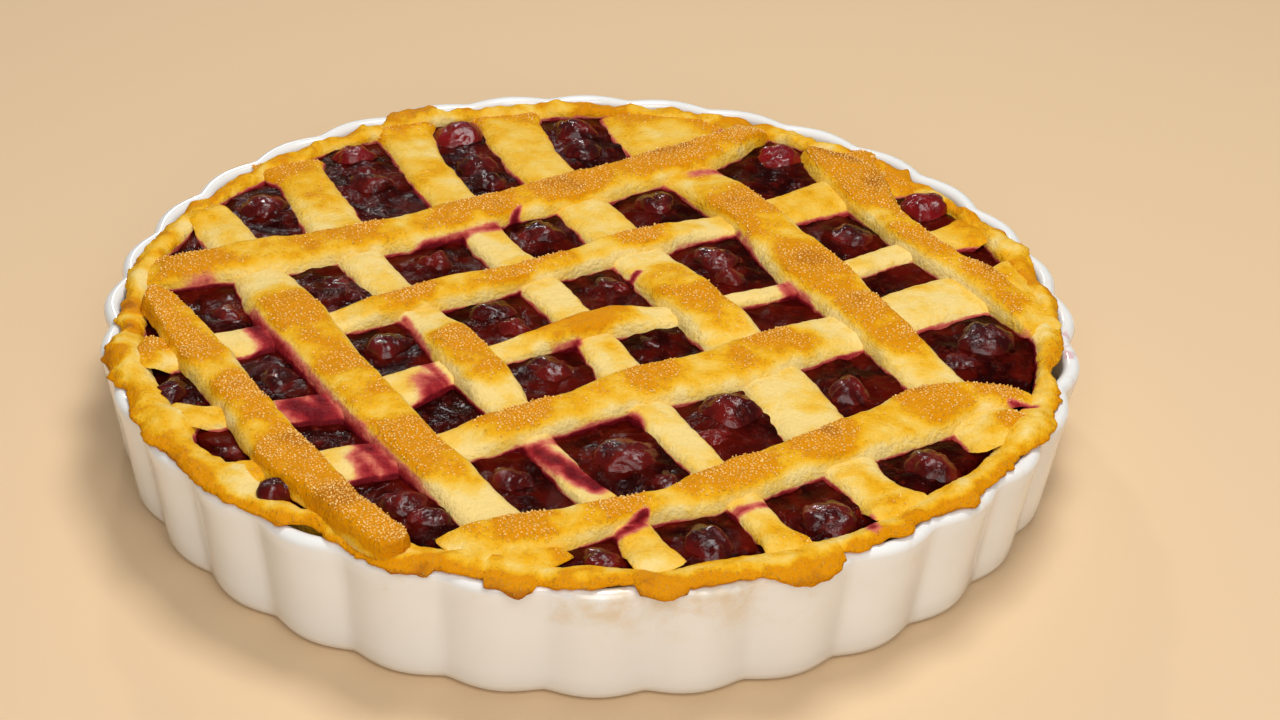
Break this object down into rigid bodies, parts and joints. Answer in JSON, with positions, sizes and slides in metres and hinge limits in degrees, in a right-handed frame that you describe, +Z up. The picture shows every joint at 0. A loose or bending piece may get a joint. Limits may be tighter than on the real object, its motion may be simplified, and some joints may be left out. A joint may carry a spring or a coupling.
{
  "type": "lattice-top fruit pie in a dish",
  "caption": "Round baked cherry pie with a woven pastry lattice, glossy dark filling and a torn golden border, in its own white fluted porcelain dish.",
  "frame": {"origin": "centre of the dish's flat underside", "axes": "+Z up through the lattice, -Y towards the side of the pie that faces the camera in the picture, +X to the right of that side"},
  "size_m": [0.28, 0.28, 0.0459],
  "materials": {
    "porcelain": "glazed white porcelain, glossy, warm white",
    "border_crust": "baked pastry, golden brown, dry and slightly rough",
    "lattice_crust": "egg-washed pastry strips, golden tops and pale sides",
    "cherry_filling": "dark red cherry jelly, wet gloss"
  },
  "bodies": {
    "root": {"dish": "porcelain", "crust_border": "border_crust", "filling": "cherry_filling", "strip_down_1": "lattice_crust", "strip_down_2": "lattice_crust", "strip_down_3": "lattice_crust", "strip_down_4": "lattice_crust", "strip_down_5": "lattice_crust", "strip_down_6": "lattice_crust", "strip_down_7": "lattice_crust", "strip_cross_1": "lattice_crust", "strip_cross_2": "lattice_crust", "strip_cross_3": "lattice_crust", "strip_cross_4": "lattice_crust", "strip_cross_5": "lattice_crust"}
  },
  "joints": []
}
